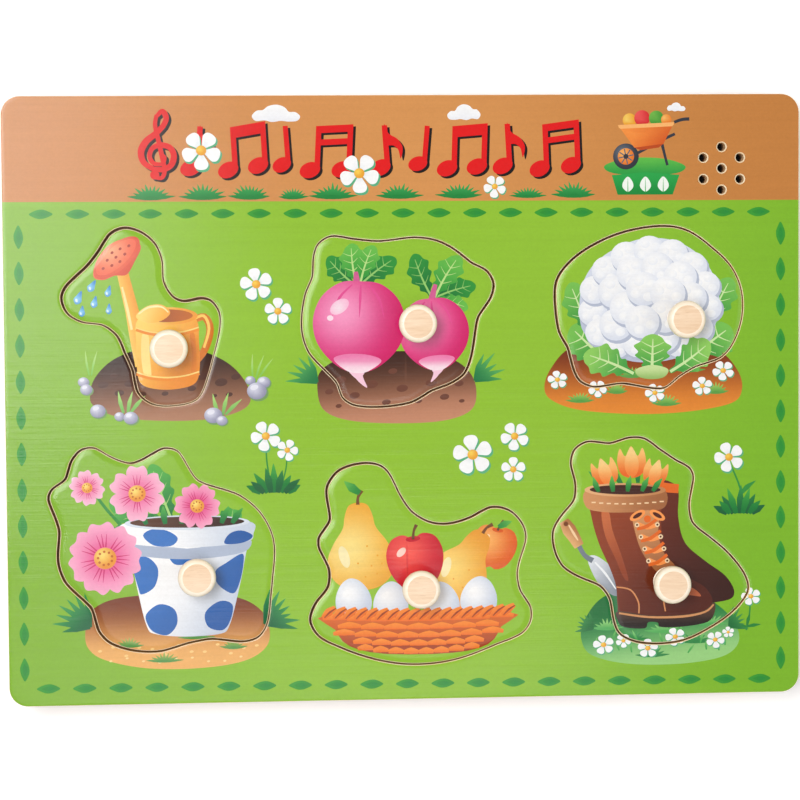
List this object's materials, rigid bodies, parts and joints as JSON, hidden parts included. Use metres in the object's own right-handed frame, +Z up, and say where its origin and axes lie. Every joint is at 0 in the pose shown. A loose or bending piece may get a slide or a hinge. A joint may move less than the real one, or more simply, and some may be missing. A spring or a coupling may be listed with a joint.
{
  "type": "sound puzzle",
  "caption": "Wooden peg puzzle board with printed lift-out pieces on round knobs, light sensors under them, a speaker and a battery box in the back.",
  "frame": {"origin": "centre of the base, on the surface that the board lies on", "axes": "+Z up out of the picture face, +X to the picture's right, +Y to the picture's top edge"},
  "size_m": [0.3, 0.228, 0.0354],
  "materials": {
    "printed_board": "plywood under a glossy printed paper",
    "printed_piece": "plywood under a glossy printed paper",
    "birch": "turned birch under clear varnish",
    "fibreboard": "bare brown fibreboard",
    "black_plastic": "fine moulded grain",
    "sensor_resin": "clear-coated ceramic",
    "lead_jacket": "smooth insulation",
    "circuit_laminate": "green solder mask",
    "steel": "nickel plated",
    "speaker_paper": "pressed film",
    "foam": "closed-cell foam",
    "cell_jacket": "printed sleeve, bare of words"
  },
  "bodies": {
    "board": {"picture_board": "printed_board", "floor_panel": "fibreboard", "core_frame": "fibreboard", "back_panel": "fibreboard", "back_screw_1": "steel", "back_screw_2": "steel", "back_screw_3": "steel", "back_screw_4": "steel", "back_screw_5": "steel", "back_screw_6": "steel", "light_sensor_watering_can": "sensor_resin", "light_sensor_radish": "sensor_resin", "light_sensor_cauliflower": "sensor_resin", "light_sensor_flower_pot": "sensor_resin", "light_sensor_fruit_basket": "sensor_resin", "light_sensor_boot": "sensor_resin", "sensor_lead_watering_can": "lead_jacket", "sensor_lead_radish": "lead_jacket", "sensor_lead_cauliflower": "lead_jacket", "sensor_lead_flower_pot": "lead_jacket", "sensor_lead_fruit_basket": "lead_jacket", "sensor_lead_boot": "lead_jacket", "circuit_board": "circuit_laminate", "sound_chip": "black_plastic", "capacitor": "steel", "circuit_screw_1": "steel", "circuit_screw_2": "steel", "speaker_gasket": "foam", "speaker_basket": "steel", "speaker_cone": "speaker_paper", "speaker_magnet": "steel", "speaker_lead": "lead_jacket", "battery_box": "black_plastic", "cell_1": "cell_jacket", "cell_2": "cell_jacket", "contact_bridge": "steel", "contact_plus": "steel", "contact_minus": "steel", "contact_spring_1": "steel", "contact_spring_2": "steel", "battery_lead": "lead_jacket"},
    "watering_can": {"piece_watering_can": "printed_piece", "knob_watering_can": "birch"},
    "radish": {"piece_radish": "printed_piece", "knob_radish": "birch"},
    "cauliflower": {"piece_cauliflower": "printed_piece", "knob_cauliflower": "birch"},
    "flower_pot": {"piece_flower_pot": "printed_piece", "knob_flower_pot": "birch"},
    "fruit_basket": {"piece_fruit_basket": "printed_piece", "knob_fruit_basket": "birch"},
    "boot": {"piece_boot": "printed_piece", "knob_boot": "birch"},
    "lid": {"battery_lid": "black_plastic"},
    "screw_1": {"lid_screw_1": "steel"},
    "screw_2": {"lid_screw_2": "steel"}
  },
  "joints": [
    {"name": "lift_watering_can", "type": "slide", "parent": "board", "child": "watering_can", "axis": [0, 0, 1], "range_m": [0, 0.04]},
    {"name": "lift_radish", "type": "slide", "parent": "board", "child": "radish", "axis": [0, 0, 1], "range_m": [0, 0.04]},
    {"name": "lift_cauliflower", "type": "slide", "parent": "board", "child": "cauliflower", "axis": [0, 0, 1], "range_m": [0, 0.04]},
    {"name": "lift_flower_pot", "type": "slide", "parent": "board", "child": "flower_pot", "axis": [0, 0, 1], "range_m": [0, 0.04]},
    {"name": "lift_fruit_basket", "type": "slide", "parent": "board", "child": "fruit_basket", "axis": [0, 0, 1], "range_m": [0, 0.04]},
    {"name": "lift_boot", "type": "slide", "parent": "board", "child": "boot", "axis": [0, 0, 1], "range_m": [0, 0.04]},
    {"name": "open_battery_lid", "type": "slide", "parent": "board", "child": "lid", "axis": [0, 0, -1], "range_m": [0, 0.03]},
    {"name": "loosen_lid_screw_1", "type": "slide", "parent": "lid", "child": "screw_1", "axis": [0, 0, -1], "range_m": [0, 0.003]},
    {"name": "loosen_lid_screw_2", "type": "slide", "parent": "lid", "child": "screw_2", "axis": [0, 0, -1], "range_m": [0, 0.003]}
  ]
}
